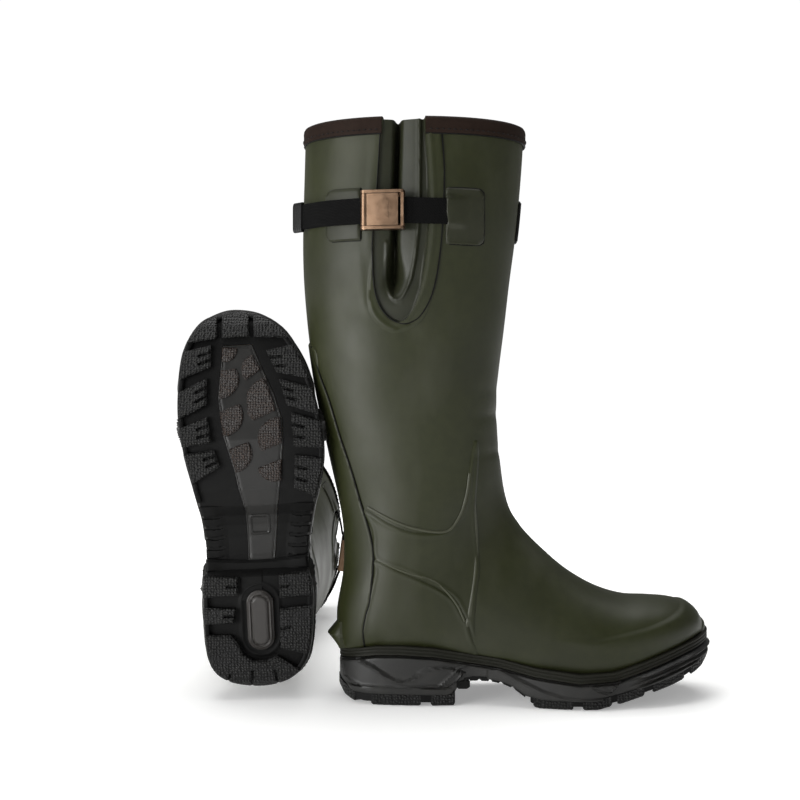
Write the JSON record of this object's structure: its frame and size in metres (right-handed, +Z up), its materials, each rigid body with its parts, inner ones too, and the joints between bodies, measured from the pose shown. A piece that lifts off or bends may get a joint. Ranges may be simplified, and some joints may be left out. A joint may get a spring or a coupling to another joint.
{
  "type": "insulated hunting boots",
  "caption": "Pair of tall olive rubber hunting boots with a strapped calf gusset, lugged soles and neoprene lining; one stands, the other lies on its back.",
  "frame": {"origin": "middle of the pair's footprint, on the floor", "axes": "+Z up; +X from the standing boot's heel to its toe; +Y away from the side that shows the strap and buckle, along the lying boot's shaft"},
  "size_m": [0.4404, 0.507, 0.46],
  "materials": {
    "upper_rubber": "matt dark olive natural rubber",
    "gusset_rubber": "thin folded olive rubber",
    "patch_rubber": "moulded olive rubber patch",
    "binding": "dark brown woven edge binding with stitching",
    "badge_rubber": "plain black rubber strip",
    "webbing": "black woven webbing",
    "strap_tip": "black moulded strap end",
    "buckle_metal": "warm bronze plating, lightly brushed",
    "sole_rubber": "black moulded rubber, fine texture",
    "sole_centre": "brown-grey moulded rubber",
    "heel_insert": "dark grey moulded rubber",
    "neoprene": "neoprene with a knitted face",
    "insole_board": "pressed fibre board",
    "shank_steel": "spring steel strip",
    "footbed_foam": "felt-faced foam"
  },
  "bodies": {
    "right_boot": {"right_upper_shell": "upper_rubber", "right_neoprene_lining": "neoprene", "right_gusset": "gusset_rubber", "right_gusset_trim": "upper_rubber", "right_top_binding": "binding", "right_backstay": "upper_rubber", "right_kick_spur": "upper_rubber", "right_outer_heel_counter": "upper_rubber", "right_inner_heel_counter": "upper_rubber", "right_outer_ankle_panel": "upper_rubber", "right_inner_ankle_panel": "upper_rubber", "right_toe_rand": "upper_rubber", "right_front_patch": "patch_rubber", "right_rear_patch": "patch_rubber", "right_front_badge": "badge_rubber", "right_strap_front": "webbing", "right_buckle_anchor": "webbing", "right_buckle_frame": "buckle_metal", "right_buckle_pin": "buckle_metal", "right_welt": "sole_rubber", "right_outsole": "sole_rubber", "right_sole_centre": "sole_centre", "right_heel_capsule": "heel_insert", "right_insole_board": "insole_board", "right_shank": "shank_steel", "right_footbed": "footbed_foam"},
    "right_lever": {"right_buckle_lever": "buckle_metal"},
    "right_tail": {"right_strap_tail": "webbing", "right_strap_tip": "strap_tip"},
    "left_boot": {"left_upper_shell": "upper_rubber", "left_neoprene_lining": "neoprene", "left_gusset": "gusset_rubber", "left_gusset_trim": "upper_rubber", "left_top_binding": "binding", "left_backstay": "upper_rubber", "left_kick_spur": "upper_rubber", "left_outer_heel_counter": "upper_rubber", "left_inner_heel_counter": "upper_rubber", "left_outer_ankle_panel": "upper_rubber", "left_inner_ankle_panel": "upper_rubber", "left_toe_rand": "upper_rubber", "left_front_patch": "patch_rubber", "left_rear_patch": "patch_rubber", "left_front_badge": "badge_rubber", "left_strap_front": "webbing", "left_buckle_anchor": "webbing", "left_buckle_frame": "buckle_metal", "left_buckle_pin": "buckle_metal", "left_welt": "sole_rubber", "left_outsole": "sole_rubber", "left_sole_centre": "sole_centre", "left_heel_capsule": "heel_insert", "left_insole_board": "insole_board", "left_shank": "shank_steel", "left_footbed": "footbed_foam"},
    "left_lever": {"left_buckle_lever": "buckle_metal"},
    "left_tail": {"left_strap_tail": "webbing", "left_strap_tip": "strap_tip"}
  },
  "joints": [
    {"name": "left_boot_slide", "type": "slide", "parent": "right_boot", "child": "left_boot", "axis": [-1, 0, 0], "range_m": [0, 0.25]},
    {"name": "right_lever_hinge", "type": "hinge", "parent": "right_boot", "child": "right_lever", "pos_m": [-0.05934, -0.24567, 0.386], "axis": [0, 0, -1], "range_deg": [0, 85]},
    {"name": "right_tail_hinge", "type": "hinge", "parent": "right_boot", "child": "right_tail", "pos_m": [-0.06225, -0.24076, 0.386], "axis": [0, 0, 1], "range_deg": [0, 40]},
    {"name": "left_lever_hinge", "type": "hinge", "parent": "left_boot", "child": "left_lever", "pos_m": [-0.09358, 0.17816, 0.0566], "axis": [-0.0325, 0.9977, 0.06], "range_deg": [0, 85]},
    {"name": "left_tail_hinge", "type": "hinge", "parent": "left_boot", "child": "left_tail", "pos_m": [-0.09837, 0.17819, 0.05349], "axis": [0.0325, -0.9977, -0.06], "range_deg": [0, 40]}
  ]
}
